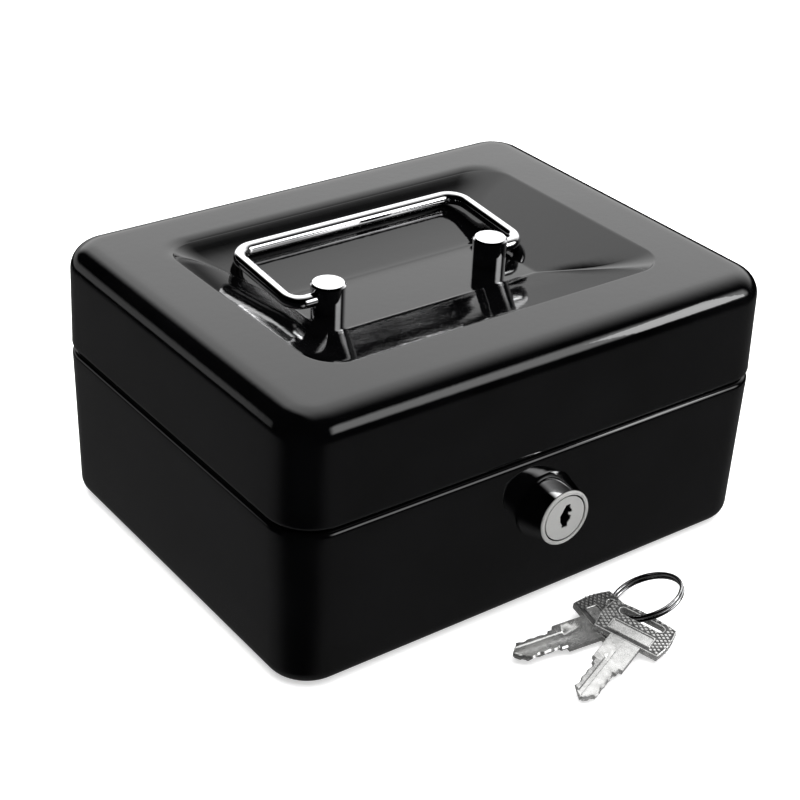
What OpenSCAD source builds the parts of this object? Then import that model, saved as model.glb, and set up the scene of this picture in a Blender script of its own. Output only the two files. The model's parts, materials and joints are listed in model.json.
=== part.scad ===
// Lockable sheet-steel cash box with a recessed bail handle, a cam lock,
// a lift-out coin tray and a ring with two keys lying beside it.
// Origin: middle of the underside. +Z up, -Y is the front, +X is to the right.

/* [Box] */
// Width across the front
box_w = 152; // [150:1:170]
// Depth, front to back
box_d = 118; // [118:1:130]
// Height of the base, up to the seam
base_h = 45.2; // [45:0.2:50]
// Gap between the base and the closed lid
seam_gap = 0.4; // [0.3:0.1:0.6]
// Height of the lid
lid_h = 29.8; // [29:0.2:34]
// Thickness of the steel sheet
sheet = 1; // [0.8:0.1:1.2]
// Radius of the upright corners
corner_r = 12; // [10:0.5:14]
// Radius of the lid's top edge
lid_edge_r = 7; // [5:0.5:9]
// Radius of the base's bottom edge
base_edge_r = 4.5; // [3:0.5:6]
// Radius of the rolled edge at the seam
rim_r = 1.5; // [1:0.1:2]

/* [Lid recess] */
// Width of the recess at the lid's top face
recess_w = 110; // [104:1:114]
// Depth of the recess at the lid's top face, front to back
recess_d = 77; // [74:1:80]
// How far the recess floor lies below the lid's top face
recess_drop = 9.5; // [9:0.1:10]
// Width of the recess floor
floor_w = 68; // [66:1:70]
// Front edge of the recess floor, on the Y axis
floor_front = -10; // [-14:1:-8]
// Back edge of the recess floor, on the Y axis
floor_back = 13; // [12:1:18]

/* [Handle] */
// Diameter of the handle wire
wire_d = 3.7; // [3.4:0.1:4]
// Width of the handle between the middles of its arms
handle_w = 74.6; // [72:0.2:76]
// Reach of the handle from its pivots to the middle of the grip
handle_reach = 29.8; // [28:0.2:31]
// Tilt of the folded handle above the lid's top face
handle_tilt = 4.9; // [4:0.1:6]
// Distance between the two posts
post_pitch = 53; // [50:1:56]
// Place of the posts, front to back
post_y = 1.7; // [0:0.1:4]
// Diameter of a post
post_d = 9.4; // [9:0.1:10]
// Height of a post above the recess floor
post_h = 7.7; // [7:0.1:8]

/* [Lock] */
// Height of the lock's axis above the underside
lock_z = 30; // [29:0.5:32]
// Diameter of the bezel at the wall
bezel_base_d = 18.8; // [18:0.1:20]
// Diameter of the bezel's face
bezel_face_d = 15.2; // [15:0.1:16]
// How far the bezel stands out of the wall
bezel_h = 7.7; // [7:0.1:9]
// Diameter of the threaded barrel
barrel_d = 16; // [15:0.5:17]
// Diameter of the turning plug
plug_d = 12.4; // [12:0.1:12.6]
// Reach of the locking cam from the lock's axis
cam_reach = 14; // [13:0.5:14.5]

/* [Coin tray] */
// Height of the tray under its flange
tray_h = 20; // [16:1:22]
// Thickness of the tray's walls
tray_wall = 1.5; // [1.2:0.1:2]

/* [Keys] */
// Thickness of a key
key_t = 1.9; // [1.6:0.1:2.2]
// Outer diameter of the split ring
ring_d = 19.7; // [19:0.1:20.5]
// Diameter of the split ring's wire
ring_wire_d = 0.9; // [0.7:0.1:1]

/* [Hidden] */
$fn = 64;

black_paint = [0.03, 0.03, 0.03];
chrome = [0.85, 0.85, 0.86];
nickel = [0.72, 0.71, 0.69];
zinc = [0.6, 0.6, 0.58];
black_plastic = [0.08, 0.08, 0.08];

fit = 0.05;                 // radial play of a running fit
lid_z = base_h + seam_gap;  // underside of the lid's rim
seam_z = base_h + seam_gap / 2;
lid_top = lid_z + lid_h;
recess_floor = lid_top - recess_drop;

hem_t = 2.2;                // thickness of the lid's folded hem
hem_h = 3;                  // height of the folded hem
flange_w = 5.5;             // inward flange round the base's mouth
lip_h = 3.2;                // down-turned lip at the end of that flange

hinge_len = 84;
knuckles = 5;
knuckle_gap = 0.3;
leaf_t = 0.9;
leaf_h = 14.5;
barrel_r = 2.2;
hinge_pin_r = 1.25;
hinge_y = box_d / 2 + barrel_r + 0.3;
rivet_r = 1.6;
rivet_x = [-30, 0, 30];
rivet_drop = 9.5;           // rivets' distance from the seam

wire_r = wire_d / 2;
wire_z = recess_floor + 3.9; // height of the handle's pivots
bend_r = 5.5;               // radius of the grip's bends
leg_bend_r = 4;             // radius of the bends beside the posts
leg_depth = 2.4;            // how far the wire goes into a post
post_r = post_d / 2;

front_y = -box_d / 2;
barrel_r_lock = barrel_d / 2;
barrel_end = front_y + 12.5;
plug_r = plug_d / 2;
plug_face = front_y - bezel_h + 0.2;
tail_r = 3.6;
tail_flat = 2.6;
cam_t = 2;
cam_w = 10;
cam_y = barrel_end + 0.2;
washer_t = 0.8;
wafer_pitch = 2.6;
wafer_first = front_y - 3.5;
wafer_count = 5;

strike_t = 1.6;
strike_x = 16;              // inner face of the hook's leg
hook_gap = 0.5;             // play between the cam and the hook

tray_gap = 0.2;
tray_z = base_h + tray_gap;
tray_flange_t = 1.2;
tray_side = flange_w + 0.7; // tray wall to box side
tray_edge = flange_w - 1.3; // tray flange to box side
notch_w = 60;
notch_back = -38;

key_len = 36.5;
blade_len = 14.2;
bow_w = 19.3;
bow_len = 12.5;
slot_len = 12.5;
slot_w = 2.4;

// ---------- shared shapes ----------

// Points along an arc, from angle a0 to angle a1
function arc(cx, cy, r, a0, a1, n) =
    [for (i = [0:n]) let (a = a0 + (a1 - a0) * i / n) [cx + r * cos(a), cy + r * sin(a)]];

// Half of a pan's section: open rim at the bottom, rounded edge at the top
function pan_section(a, h, edge, rim) = concat(
    [[0, 0]],
    rim > 0 ? arc(a - rim, rim, rim, -90, 0, 4) : [[a, 0]],
    arc(a - edge, h - edge, edge, 0, 90, 6),
    [[0, h]]
);

module both_sides() {
    children();
    mirror([1, 0]) children();
}

// Solid block with rounded upright corners, a rounded top edge and rim
module pan(w, d, h, r, edge, rim) {
    translate([-(w / 2 - r), 0, 0]) rotate([90, 0, 90])
        linear_extrude(w - 2 * r) both_sides() polygon(pan_section(d / 2, h, edge, rim));
    translate([0, d / 2 - r, 0]) rotate([90, 0, 0])
        linear_extrude(d - 2 * r) both_sides() polygon(pan_section(w / 2, h, edge, rim));
    for (sx = [-1, 1], sy = [-1, 1])
        translate([sx * (w / 2 - r), sy * (d / 2 - r), 0])
            rotate_extrude() polygon(pan_section(r, h, edge, rim));
}

// Flat slab with rounded upright corners
module slab(w, d, h, r) {
    translate([-w / 2 + r, -d / 2, 0]) cube([w - 2 * r, d, h]);
    translate([-w / 2, -d / 2 + r, 0]) cube([w, d - 2 * r, h]);
    for (sx = [-1, 1], sy = [-1, 1])
        translate([sx * (w / 2 - r), sy * (d / 2 - r), 0]) cylinder(r = r, h = h);
}

// Cylinder along Y, from y0 to y1, on the lock's axis
module lock_rod(r, y0, y1) {
    translate([0, y0, lock_z]) rotate([-90, 0, 0]) cylinder(r = r, h = y1 - y0);
}

module ring(r_out, r_in, h) {
    difference() {
        cylinder(r = r_out, h = h);
        translate([0, 0, -1]) cylinder(r = r_in, h = h + 2);
    }
}

// ---------- base ----------

module base_shell() {
    inner_w = box_w - 2 * sheet;
    inner_d = box_d - 2 * sheet;
    mouth_w = box_w - 2 * flange_w;
    mouth_d = box_d - 2 * flange_w;
    color(black_paint) difference() {
        translate([0, 0, base_h]) mirror([0, 0, 1]) difference() {
            pan(box_w, box_d, base_h, corner_r, base_edge_r, rim_r);
            difference() {
                translate([0, 0, sheet])
                    pan(inner_w, inner_d, base_h - 2 * sheet, corner_r - sheet, base_edge_r - sheet, 0);
                slab(mouth_w + 2 * sheet, mouth_d + 2 * sheet, lip_h, corner_r - flange_w + sheet);
            }
            translate([0, 0, -1]) slab(mouth_w, mouth_d, lip_h + 2, corner_r - flange_w);
        }
        lock_rod(barrel_r_lock + 0.1, front_y - 1, front_y + sheet + 1);
        hinge_rivet_holes(-1);
    }
}

// ---------- lid ----------

// Thin plate of the recess block at height z, with rounded corners
module recess_level(half_w, front, back, z, r, grow) {
    for (sx = [-1, 1], y = [front - grow + r, back + grow - r])
        translate([sx * (half_w + grow - r), y, z]) cylinder(r = r, h = 0.02, $fn = 32);
}

// Block that fills the recess; grow thickens it on every side.
// The back slope starts gently at the floor and steepens behind the grip.
module recess_block(grow) {
    half_w = recess_w / 2;
    half_d = recess_d / 2;
    foot_w = floor_w / 2;
    turn = 0.55;            // where the back slope steepens, as a part of the drop
    turn_z = lid_top - turn * recess_drop;
    turn_w = half_w + turn * (foot_w - half_w);
    turn_front = -half_d + turn * (floor_front + half_d);
    turn_back = half_d - 5;
    hull() {
        recess_level(half_w, -half_d, half_d, lid_top, 10 + grow, grow);
        recess_level(turn_w, turn_front, turn_back, turn_z - grow / 2, 7 + grow, grow);
        recess_level(foot_w, floor_front, floor_back, recess_floor - grow, 4 + grow, grow);
    }
}

module lid_shell() {
    color(black_paint) difference() {
        translate([0, 0, lid_z]) pan(box_w, box_d, lid_h, corner_r, lid_edge_r, rim_r);
        difference() {
            union() {
                translate([0, 0, lid_z + hem_h])
                    pan(box_w - 2 * sheet, box_d - 2 * sheet, lid_h - hem_h - sheet,
                        corner_r - sheet, lid_edge_r - sheet, 0);
                translate([0, 0, lid_z - 1])
                    slab(box_w - 2 * hem_t, box_d - 2 * hem_t, hem_h + 2, corner_r - hem_t);
            }
            recess_block(sheet);
        }
        recess_block(0);
        for (side = [-1, 1])
            translate([side * post_pitch / 2, post_y, recess_floor - 2 * sheet]) cylinder(r = 2.1, h = 4);
        hinge_rivet_holes(1);
    }
}

// Hook that hangs from the lid's front wall into the base, beside the cam
module strike_plate() {
    wall_y = front_y + sheet;
    hook_y = cam_y + 0.2;
    lip_top = lock_z - cam_w / 2 - hook_gap;
    web_z = lid_z + hem_h + 0.2;
    flange_x = strike_x - 6;
    color(zinc) {
        translate([flange_x, wall_y, web_z]) cube([17, strike_t, 14]);
        translate([flange_x, wall_y, web_z]) cube([17, hook_y + strike_t - wall_y, strike_t]);
        translate([strike_x, hook_y, lip_top - 3]) cube([5, strike_t, web_z + strike_t - lip_top + 3]);
        translate([strike_x - 6.5, hook_y, lip_top - 3]) cube([8, strike_t, 3]);
    }
}

// ---------- hinge ----------

// Rivet holes of one leaf: side is 1 in the lid, -1 in the base
module hinge_rivet_holes(side) {
    for (x = rivet_x)
        translate([x, box_d / 2 - sheet - 1, seam_z + side * rivet_drop]) rotate([-90, 0, 0])
            cylinder(r = rivet_r + fit, h = sheet + leaf_t + 2);
}

// One leaf with its knuckles: side is 1 for the lid's, -1 for the base's
module hinge_leaf(side) {
    pitch = hinge_len / knuckles;
    plate_start = barrel_r + 0.7;
    own = side > 0 ? [1, 3] : [0, 2, 4];
    color(zinc) translate([0, 0, seam_z]) difference() {
        union() {
            translate([-hinge_len / 2, box_d / 2, side > 0 ? plate_start : -leaf_h])
                cube([hinge_len, leaf_t, leaf_h - plate_start]);
            for (k = own) {
                x = -hinge_len / 2 + k * pitch + knuckle_gap / 2;
                len = pitch - knuckle_gap;
                translate([x, box_d / 2, side > 0 ? 0 : -plate_start - 1])
                    cube([len, leaf_t, plate_start + 1]);
                translate([x, hinge_y, 0]) rotate([0, 90, 0]) cylinder(r = barrel_r, h = len);
            }
        }
        translate([-hinge_len, hinge_y, 0]) rotate([0, 90, 0])
            cylinder(r = hinge_pin_r + fit, h = 2 * hinge_len);
        translate([0, 0, -seam_z]) hinge_rivet_holes(side);
    }
}

module hinge_leaf_base() hinge_leaf(-1);

module hinge_leaf_lid() hinge_leaf(1);

module hinge_rivets(side) {
    head_y = box_d / 2 + leaf_t;
    color(zinc) for (x = rivet_x)
        translate([x, head_y, seam_z + side * rivet_drop]) rotate([-90, 0, 0]) {
            cylinder(r1 = 3, r2 = 1.8, h = 1.1);
            translate([0, 0, -leaf_t - sheet - 0.5]) cylinder(r = rivet_r, h = leaf_t + sheet + 1);
            translate([0, 0, -leaf_t - sheet - 1]) cylinder(r = 2.4, h = 1);
        }
}

module hinge_rivets_base() hinge_rivets(-1);

module hinge_rivets_lid() hinge_rivets(1);

module hinge_pin() {
    color(zinc) translate([0, hinge_y, seam_z]) rotate([0, 90, 0]) {
        cylinder(r = hinge_pin_r, h = hinge_len + 1, center = true);
        for (side = [-1, 1])
            translate([0, 0, side * (hinge_len / 2 + 0.7)]) cylinder(r = 1.9, h = 0.8, center = true);
    }
}

// ---------- handle ----------

// Post with a blind hole for the wire on its outer side and a screw hole below
module handle_post(side) {
    bevel = 0.5;
    color(chrome) translate([side * post_pitch / 2, post_y, recess_floor]) difference() {
        union() {
            cylinder(r = post_r, h = post_h - bevel);
            translate([0, 0, post_h - bevel]) cylinder(r1 = post_r, r2 = post_r - bevel, h = bevel);
        }
        translate([side * (post_r - leg_depth - 0.1), 0, wire_z - recess_floor]) rotate([0, side * 90, 0])
            cylinder(r = wire_r + fit, h = post_r);
        translate([0, 0, -1]) cylinder(r = 2.05, h = 6);
    }
}

module handle_post_left() handle_post(-1);

module handle_post_right() handle_post(1);

module post_washers() {
    color(zinc) for (side = [-1, 1])
        translate([side * post_pitch / 2, post_y, recess_floor - sheet - washer_t]) ring(5, 2.15, washer_t);
}

module post_screws() {
    head_z = recess_floor - sheet - washer_t;
    color(zinc) for (side = [-1, 1])
        translate([side * post_pitch / 2, post_y, head_z]) difference() {
            union() {
                cylinder(r = 2, h = sheet + washer_t + 4);
                translate([0, 0, -2]) cylinder(r1 = 2.9, r2 = 3.7, h = 2);
            }
            for (a = [0, 90])
                rotate([0, 0, a]) translate([-0.5, -2, -3]) cube([1, 4, 2.2]);
        }
}

// Round wire from the origin along +X
module wire(len) {
    rotate([0, 90, 0]) cylinder(r = wire_r, h = len);
}

// Quarter bend of the wire round the origin, from -Y to +X
module bend(r) {
    rotate([0, 0, -90]) rotate_extrude(angle = 90) translate([r, 0]) circle(r = wire_r, $fn = 48);
}

module handle_bail() {
    arm_x = handle_w / 2;
    leg_start = post_pitch / 2 + post_r - leg_depth;
    color(chrome) translate([0, post_y, wire_z]) rotate([handle_tilt, 0, 0]) {
        for (side = [0, 1]) mirror([side, 0, 0]) {
            translate([leg_start, 0, 0]) wire(arm_x - leg_bend_r - leg_start);
            translate([arm_x - leg_bend_r, leg_bend_r, 0]) bend(leg_bend_r);
            translate([arm_x, leg_bend_r, 0]) rotate([0, 0, 90])
                wire(handle_reach - leg_bend_r - bend_r);
            translate([arm_x - bend_r, handle_reach - bend_r, 0]) rotate([0, 0, 90]) bend(bend_r);
            translate([0, handle_reach, 0]) wire(arm_x - bend_r);
        }
    }
}

// ---------- lock ----------

module lock_body() {
    color(chrome) difference() {
        union() {
            translate([0, front_y, lock_z]) rotate([90, 0, 0])
                cylinder(d1 = bezel_base_d, d2 = bezel_face_d, h = bezel_h);
            lock_rod(barrel_r_lock, front_y - 0.5, barrel_end);
        }
        lock_rod(plug_r + fit, front_y - bezel_h - 1, barrel_end + 1);
        lock_rod(plug_r + 0.4, front_y - bezel_h - 1, front_y - bezel_h + 0.5);
    }
}

module lock_washer() {
    color(zinc) translate([0, front_y + sheet, lock_z]) rotate([-90, 0, 0])
        ring(11.4, barrel_r_lock + fit, washer_t);
}

module lock_nut() {
    color(zinc) translate([0, front_y + sheet + washer_t, lock_z]) rotate([-90, 0, 0]) difference() {
        cylinder(r = 11, h = 3, $fn = 6);
        translate([0, 0, -1]) cylinder(r = barrel_r_lock + fit, h = 5);
    }
}

// Outline of the keyway: a tall slot with a wide middle and two wards
module keyway() {
    polygon([
        [0, 3.8], [1.4, 3.8], [1.4, 2.8], [2.2, 1.7], [2, 1.2], [1.1, 1.3],
        [1.1, 0.7], [1.9, 0.2], [1.8, -0.8], [1, -1.7], [1, -2.8], [-0.9, -2.8],
        [-0.9, -1.8], [-1.5, -0.8], [-1.7, 0.9], [-1, 2], [-0.6, 2.8]
    ]);
}

module lock_plug() {
    color(nickel) difference() {
        union() {
            lock_rod(plug_r, plug_face, barrel_end);
            intersection() {
                lock_rod(tail_r, barrel_end - 1, cam_y + cam_t - 0.1);
                translate([-tail_flat, barrel_end - 2, lock_z - 5]) cube([2 * tail_flat, 10, 10]);
            }
        }
        translate([0, plug_face + 17, lock_z]) rotate([90, 0, 0]) linear_extrude(18) keyway();
        lock_rod(1.95, barrel_end - 2.5, barrel_end + 5);
        for (i = [0:wafer_count - 1])
            translate([0, wafer_first + i * wafer_pitch, lock_z]) {
                translate([-2.45, -0.45, -7]) cube([4.9, 0.9, 14]);
                translate([2, -0.45, -0.6]) cube([2.3, 0.9, 2.6]);
                translate([3.4, 0, -4.5]) cylinder(r = 0.8, h = 4);
            }
    }
}

// Wafers drawn in flush with the plug, as with the key in place
module lock_wafers() {
    color("goldenrod") for (i = [0:wafer_count - 1])
        translate([0, wafer_first + i * wafer_pitch, lock_z]) difference() {
            union() {
                translate([-2.4, -0.35, -5.4]) cube([4.8, 0.7, 10.8]);
                translate([2.3, -0.35, -0.4]) cube([1.9, 0.7, 0.9]);
            }
            translate([-1.7, -1, -3.5]) cube([3.4, 2, 7]);
        }
}

module wafer_springs() {
    coil_h = 0.8;
    color("silver") for (i = [0:wafer_count - 1])
        translate([3.4, wafer_first + i * wafer_pitch, lock_z - 4.45])
            rotate_extrude($fn = 24) polygon(concat(
                [for (k = [0:10]) [k % 2 == 0 ? 0.5 : 0.7, k * coil_h / 2]],
                [for (k = [10:-1:0]) [k % 2 == 0 ? 0.3 : 0.5, k * coil_h / 2]]
            ));
}

module lock_cam() {
    color(zinc) translate([0, cam_y, lock_z]) difference() {
        union() {
            rotate([-90, 0, 0]) cylinder(r = cam_w / 2, h = cam_t);
            translate([-cam_w / 2, 0, 0]) cube([cam_w, cam_t, cam_reach - 2]);
            translate([-cam_w / 2 + 2, 0, 0]) cube([cam_w - 4, cam_t, cam_reach]);
            for (side = [-1, 1])
                translate([side * (cam_w / 2 - 2), 0, cam_reach - 2]) rotate([-90, 0, 0])
                    cylinder(r = 2, h = cam_t);
        }
        intersection() {
            translate([0, -1, 0]) rotate([-90, 0, 0]) cylinder(r = tail_r + fit, h = cam_t + 2);
            translate([-tail_flat - fit, -1, -5]) cube([2 * (tail_flat + fit), cam_t + 2, 10]);
        }
    }
}

module cam_washer() {
    color(zinc) translate([0, cam_y + cam_t, lock_z]) rotate([-90, 0, 0]) ring(4.6, 2, washer_t);
}

module cam_screw() {
    head_y = cam_y + cam_t + washer_t;
    color(zinc) difference() {
        union() {
            lock_rod(1.9, barrel_end - 2.2, head_y + 1);
            translate([0, head_y, lock_z]) rotate([-90, 0, 0]) cylinder(r1 = 3.7, r2 = 3, h = 2.2);
        }
        for (a = [0, 90])
            translate([0, head_y + 1.1, lock_z]) rotate([0, a, 0]) translate([-0.5, 0, -2]) cube([1, 2, 4]);
    }
}

// ---------- coin tray ----------

// Pocket of the tray between two corners, open at the top
module tray_pocket(x0, y0, x1, y1) {
    translate([(x0 + x1) / 2, (y0 + y1) / 2, tray_z - tray_h + tray_wall])
        slab(x1 - x0, y1 - y0, tray_h + tray_flange_t, 3);
}

module coin_tray() {
    half_w = box_w / 2 - tray_side;
    half_d = box_d / 2 - tray_side;
    in_w = half_w - tray_wall;
    in_d = half_d - tray_wall;
    column = notch_w / 2 + tray_wall;
    row = 14;
    color(black_plastic) difference() {
        union() {
            translate([0, 0, tray_z - tray_h]) slab(2 * half_w, 2 * half_d, tray_h, corner_r - flange_w - 1);
            translate([0, 0, tray_z])
                slab(box_w - 2 * tray_edge, box_d - 2 * tray_edge, tray_flange_t, corner_r - tray_edge);
        }
        translate([-notch_w / 2, -box_d, tray_z - tray_h - 1])
            cube([notch_w, box_d + notch_back, tray_h + tray_flange_t + 2]);
        for (side = [0, 1]) mirror([side, 0, 0]) {
            tray_pocket(column, -in_d, in_w, row - tray_wall);
            tray_pocket(tray_wall / 2, notch_back + tray_wall, column - tray_wall, row - tray_wall);
        }
        tray_pocket(-in_w, row, in_w, in_d);
    }
}

// ---------- keys ----------

// Flat key along +X: the ring slot is at the origin, the underside at z = 0
module key() {
    edge_x = -3;            // outer edge of the bow
    neck_x = edge_x + bow_len;
    tip_x = edge_x + key_len;
    blade_x = tip_x - blade_len;
    half = bow_w / 2;
    corner = half - 0.65;   // the bow bulges a little from corner to corner
    difference() {
        linear_extrude(key_t) polygon(concat(
            [for (i = [0:8]) [edge_x + 0.9 * pow(i / 4 - 1, 2), (i / 4 - 1) * corner]],
            [for (i = [1:5]) [edge_x + 0.9 + i * 1.9, corner + 0.65 * sin(i * 30)]],
            [[neck_x, corner - 0.3], [neck_x, 4.3]],
            [[blade_x, 4.3], [blade_x, 3.2], [blade_x + 2, 3.2], [blade_x + 3, 2.6],
             [blade_x + 5, 3], [blade_x + 6.5, 2.4], [blade_x + 8, 2.9], [blade_x + 9.5, 2.5],
             [tip_x - 3, 2.9], [tip_x - 1.2, 2.2], [tip_x, 0.6]],
            [[tip_x, -0.6], [tip_x - 1.2, -2.2], [tip_x - 3, -2.9], [blade_x + 9.5, -2.4],
             [blade_x + 8, -2.9], [blade_x + 6.5, -2.5], [blade_x + 5, -3], [blade_x + 3, -2.5],
             [blade_x + 2, -3.2], [blade_x, -3.2], [blade_x, -4.3]],
            [[neck_x, -4.3], [neck_x, 0.3 - corner]],
            [for (i = [5:-1:1]) [edge_x + 0.9 + i * 1.9, -corner - 0.65 * sin(i * 30)]]
        ));
        translate([0, 0, key_t / 2]) cube([slot_w, slot_len - slot_w, key_t + 2], center = true);
        for (side = [-1, 1])
            translate([0, side * (slot_len - slot_w) / 2, -1]) cylinder(r = slot_w / 2, h = key_t + 2);
        for (z = [-0.7, key_t - 0.3])
            translate([edge_x + 7, -6.2, z]) cube([4.4, 12.4, 1]);
        for (z = [-0.5, key_t - 0.5])
            translate([blade_x - 2, -0.7, z]) cube([tip_x - blade_x, 1.4, 1]);
    }
}

module key_front() {
    color(nickel) translate([13.04, -84.4, 2.74]) rotate([-7.82, 3.53, 202.07]) key();
}

module key_rear() {
    color(nickel) translate([11.51, -79.19, 1.47]) rotate([-8.57, -0.46, 174.74]) key();
}

module key_ring() {
    mid_r = (ring_d - ring_wire_d) / 2;
    color(chrome) translate([20.34, -78.49, 4.95]) rotate([0, 0, 132.24]) rotate([0, 23.5, 0]) {
        for (z = [-0.5, 0.5]) translate([0, 0, z * ring_wire_d])
            rotate_extrude() translate([mid_r, 0]) circle(r = ring_wire_d / 2 + 0.02, $fn = 24);
    }
}

base_shell();
hinge_leaf_base();
hinge_rivets_base();
hinge_pin();
lid_shell();
hinge_leaf_lid();
hinge_rivets_lid();
strike_plate();
handle_post_left();
handle_post_right();
post_screws();
post_washers();
handle_bail();
lock_body();
lock_washer();
lock_nut();
lock_plug();
lock_wafers();
wafer_springs();
lock_cam();
cam_washer();
cam_screw();
coin_tray();
key_front();
key_rear();
key_ring();
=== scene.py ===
"""Lockable steel cash box: the looks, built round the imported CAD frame."""
import json
import math

import bmesh
import bpy
from mathutils import Matrix, Vector


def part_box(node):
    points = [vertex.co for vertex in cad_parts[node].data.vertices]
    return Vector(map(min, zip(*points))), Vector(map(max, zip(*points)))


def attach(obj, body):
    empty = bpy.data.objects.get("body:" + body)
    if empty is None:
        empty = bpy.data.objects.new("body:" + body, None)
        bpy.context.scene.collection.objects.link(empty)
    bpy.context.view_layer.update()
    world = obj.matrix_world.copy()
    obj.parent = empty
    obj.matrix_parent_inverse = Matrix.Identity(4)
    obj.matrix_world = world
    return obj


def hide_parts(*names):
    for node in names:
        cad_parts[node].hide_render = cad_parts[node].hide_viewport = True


MM = 0.001

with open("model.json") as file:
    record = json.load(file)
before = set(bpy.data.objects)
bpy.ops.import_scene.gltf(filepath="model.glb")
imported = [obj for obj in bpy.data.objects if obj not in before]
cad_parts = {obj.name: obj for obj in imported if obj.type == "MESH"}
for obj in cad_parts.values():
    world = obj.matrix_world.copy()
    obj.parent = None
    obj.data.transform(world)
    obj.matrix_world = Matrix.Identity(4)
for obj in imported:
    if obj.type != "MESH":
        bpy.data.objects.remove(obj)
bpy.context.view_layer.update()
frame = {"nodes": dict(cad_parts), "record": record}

base_low, base_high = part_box("base_shell")
lid_low, lid_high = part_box("lid_shell")


# ---------- camera ----------

def add_camera():
    """Three-quarter view from the front left, turned slightly about its own axis."""
    azimuth, elevation, roll = (math.radians(a) for a in (-37.32, 30.09, 2.73))
    place = Vector((-264.5, -343.1, 282.2)) * MM
    out = Vector((math.sin(azimuth) * math.cos(elevation),
                  -math.cos(azimuth) * math.cos(elevation),
                  math.sin(elevation)))
    turn = out.to_track_quat("Z", "Y").to_matrix() @ Matrix.Rotation(roll, 3, "Z")
    data = bpy.data.cameras.new("camera")
    data.lens = 81.95
    data.sensor_width = 36
    data.clip_start = 0.01
    camera = bpy.data.objects.new("camera", data)
    camera.matrix_world = Matrix.Translation(place) @ turn.to_4x4()
    bpy.context.scene.collection.objects.link(camera)
    bpy.context.scene.camera = camera


# ---------- materials ----------

class Graph:
    """Small helper that adds and links a material's nodes."""

    def __init__(self, name):
        self.material = bpy.data.materials.new(name)
        self.material.use_nodes = True
        self.nodes = self.material.node_tree.nodes
        self.links = self.material.node_tree.links
        self.shader = self.nodes["Principled BSDF"]
        self.place = self.add("ShaderNodeTexCoord").outputs["Object"]

    def add(self, kind, **settings):
        node = self.nodes.new(kind)
        for key, value in settings.items():
            setattr(node, key, value)
        return node

    def link(self, source, target):
        self.links.new(source, target)

    def set(self, **values):
        for key, value in values.items():
            self.shader.inputs[key.replace("_", " ")].default_value = value

    def noise(self, scale, detail=2.0, roughness=0.5, stretch=(1, 1, 1)):
        """Noise of about 1/scale metres, stretched along the axes."""
        mapping = self.add("ShaderNodeMapping")
        mapping.inputs["Scale"].default_value = stretch
        self.link(self.place, mapping.inputs["Vector"])
        node = self.add("ShaderNodeTexNoise")
        node.inputs["Scale"].default_value = scale
        node.inputs["Detail"].default_value = detail
        node.inputs["Roughness"].default_value = roughness
        self.link(mapping.outputs["Vector"], node.inputs["Vector"])
        return node.outputs["Fac"]

    def ramp(self, source, low, high, start=0.3, end=0.7):
        """Maps source from start..end to low..high."""
        node = self.add("ShaderNodeMapRange")
        node.inputs["From Min"].default_value = start
        node.inputs["From Max"].default_value = end
        node.inputs["To Min"].default_value = low
        node.inputs["To Max"].default_value = high
        self.link(source, node.inputs["Value"])
        return node.outputs["Result"]

    def tint(self, source, low, high, start=0.3, end=0.7):
        """Blends between two colours by source."""
        node = self.add("ShaderNodeMix", data_type="RGBA")
        node.inputs["A"].default_value = (*low, 1)
        node.inputs["B"].default_value = (*high, 1)
        self.link(self.ramp(source, 0, 1, start, end), node.inputs["Factor"])
        self.link(node.outputs["Result"], self.shader.inputs["Base Color"])

    def bump(self, layers):
        """Stacks (height, distance in metres) bumps on the shader's normal."""
        normal = None
        for height, distance in layers:
            node = self.add("ShaderNodeBump")
            node.inputs["Distance"].default_value = distance
            self.link(height, node.inputs["Height"])
            if normal is not None:
                self.link(normal, node.inputs["Normal"])
            normal = node.outputs["Normal"]
        self.link(normal, self.shader.inputs["Normal"])


def paint_material():
    """Stoved black gloss: deep black with faint orange peel and slow waves of the sheet."""
    g = Graph("black_gloss_paint")
    g.set(IOR=1.52)
    g.tint(g.noise(60, 3), (0.0006, 0.0006, 0.0007), (0.0016, 0.0016, 0.0018))
    g.link(g.ramp(g.noise(220, 4), 0.035, 0.06), g.shader.inputs["Roughness"])
    peel = g.noise(520, 1.5)
    waves = g.noise(34, 1.0)
    ripples = g.noise(130, 1.5, 0.5, (0.4, 1, 1))    # drawn out along the box's width
    g.bump([(waves, 0.00008), (ripples, 0.000012), (peel, 0.000014)])
    return g.material


def chrome_material():
    """Bright chrome plate, almost a clean mirror."""
    g = Graph("bright_chrome")
    g.set(Metallic=1.0)
    g.tint(g.noise(300, 3), (0.80, 0.80, 0.81), (0.90, 0.90, 0.91))
    g.link(g.ramp(g.noise(700, 4), 0.03, 0.08), g.shader.inputs["Roughness"])
    g.bump([(g.noise(160, 2), 0.00002)])
    return g.material


def metal_material(name, low, high, rough, metallic=1.0):
    """Plated metal with a fine even grain; metallic below 1 makes it paler in the shade."""
    g = Graph(name)
    g.set(Metallic=metallic)
    g.tint(g.noise(500, 4), low, high)
    g.link(g.ramp(g.noise(900, 4, 0.6), rough[0], rough[1]), g.shader.inputs["Roughness"])
    g.bump([(g.noise(2200, 3, 0.6), 0.000015)])
    return g.material


def face_material(front):
    """Blasted and plated lock face, with painted shade: near black inside whatever opens behind the
    face at Y front.
    """
    g = Graph("satin_face_painted_shade")
    g.set(Metallic=0.3)
    split = g.add("ShaderNodeSeparateXYZ")
    g.link(g.place, split.inputs[0])
    # painted shade: plated grey at the face, near black from 0.4 mm behind it, in the keyway and the
    # gaps
    g.tint(split.outputs["Y"], (0.46, 0.46, 0.45), (0.004, 0.004, 0.004),
           front + 0.1 * MM, front + 0.4 * MM)
    g.link(g.ramp(g.noise(900, 3), 0.38, 0.5), g.shader.inputs["Roughness"])
    g.bump([(g.noise(700, 3), 0.00002), (g.noise(2600, 2), 0.00002)])
    return g.material


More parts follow.
